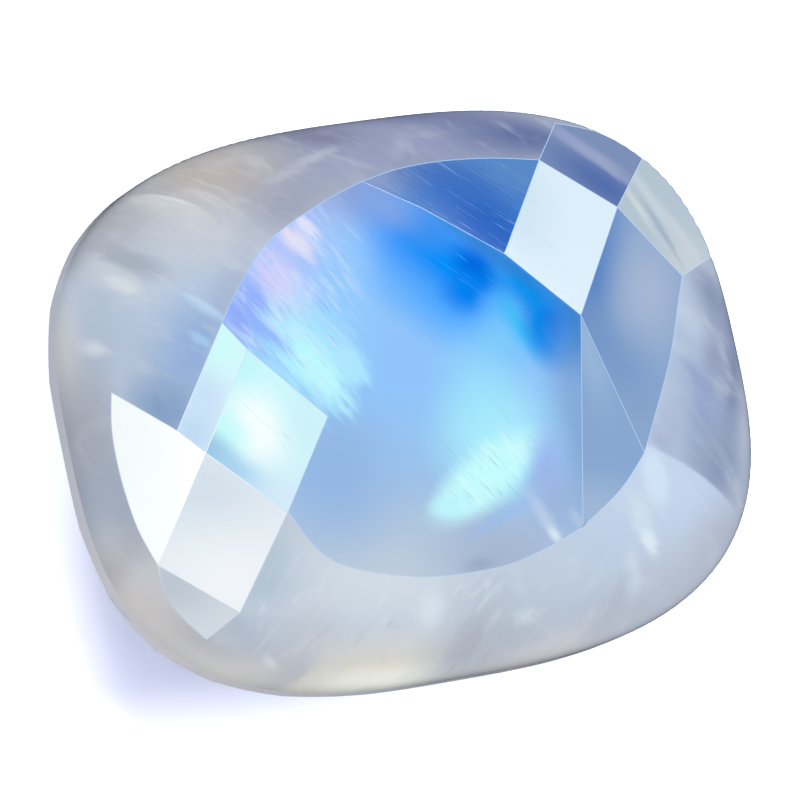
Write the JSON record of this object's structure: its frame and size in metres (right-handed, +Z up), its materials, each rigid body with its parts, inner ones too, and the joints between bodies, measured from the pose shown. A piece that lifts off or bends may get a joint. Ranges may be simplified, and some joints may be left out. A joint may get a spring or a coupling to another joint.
{
  "type": "polished faceted moonstone",
  "caption": "Loose cushion-shaped moonstone with a domed crown, flat polished facets, a thin girdle and a stepped pavilion ending in a small flat spot.",
  "frame": {"origin": "middle of the small flat culet that the stone rests on", "axes": "+X along the stone's length, +Y across its width, +Z up through the domed crown"},
  "size_m": [0.018, 0.0142, 0.0068],
  "materials": {
    "moonstone": "polished, milky and translucent, with a blue sheen"
  },
  "bodies": {
    "root": {"moonstone": "moonstone"}
  },
  "joints": []
}
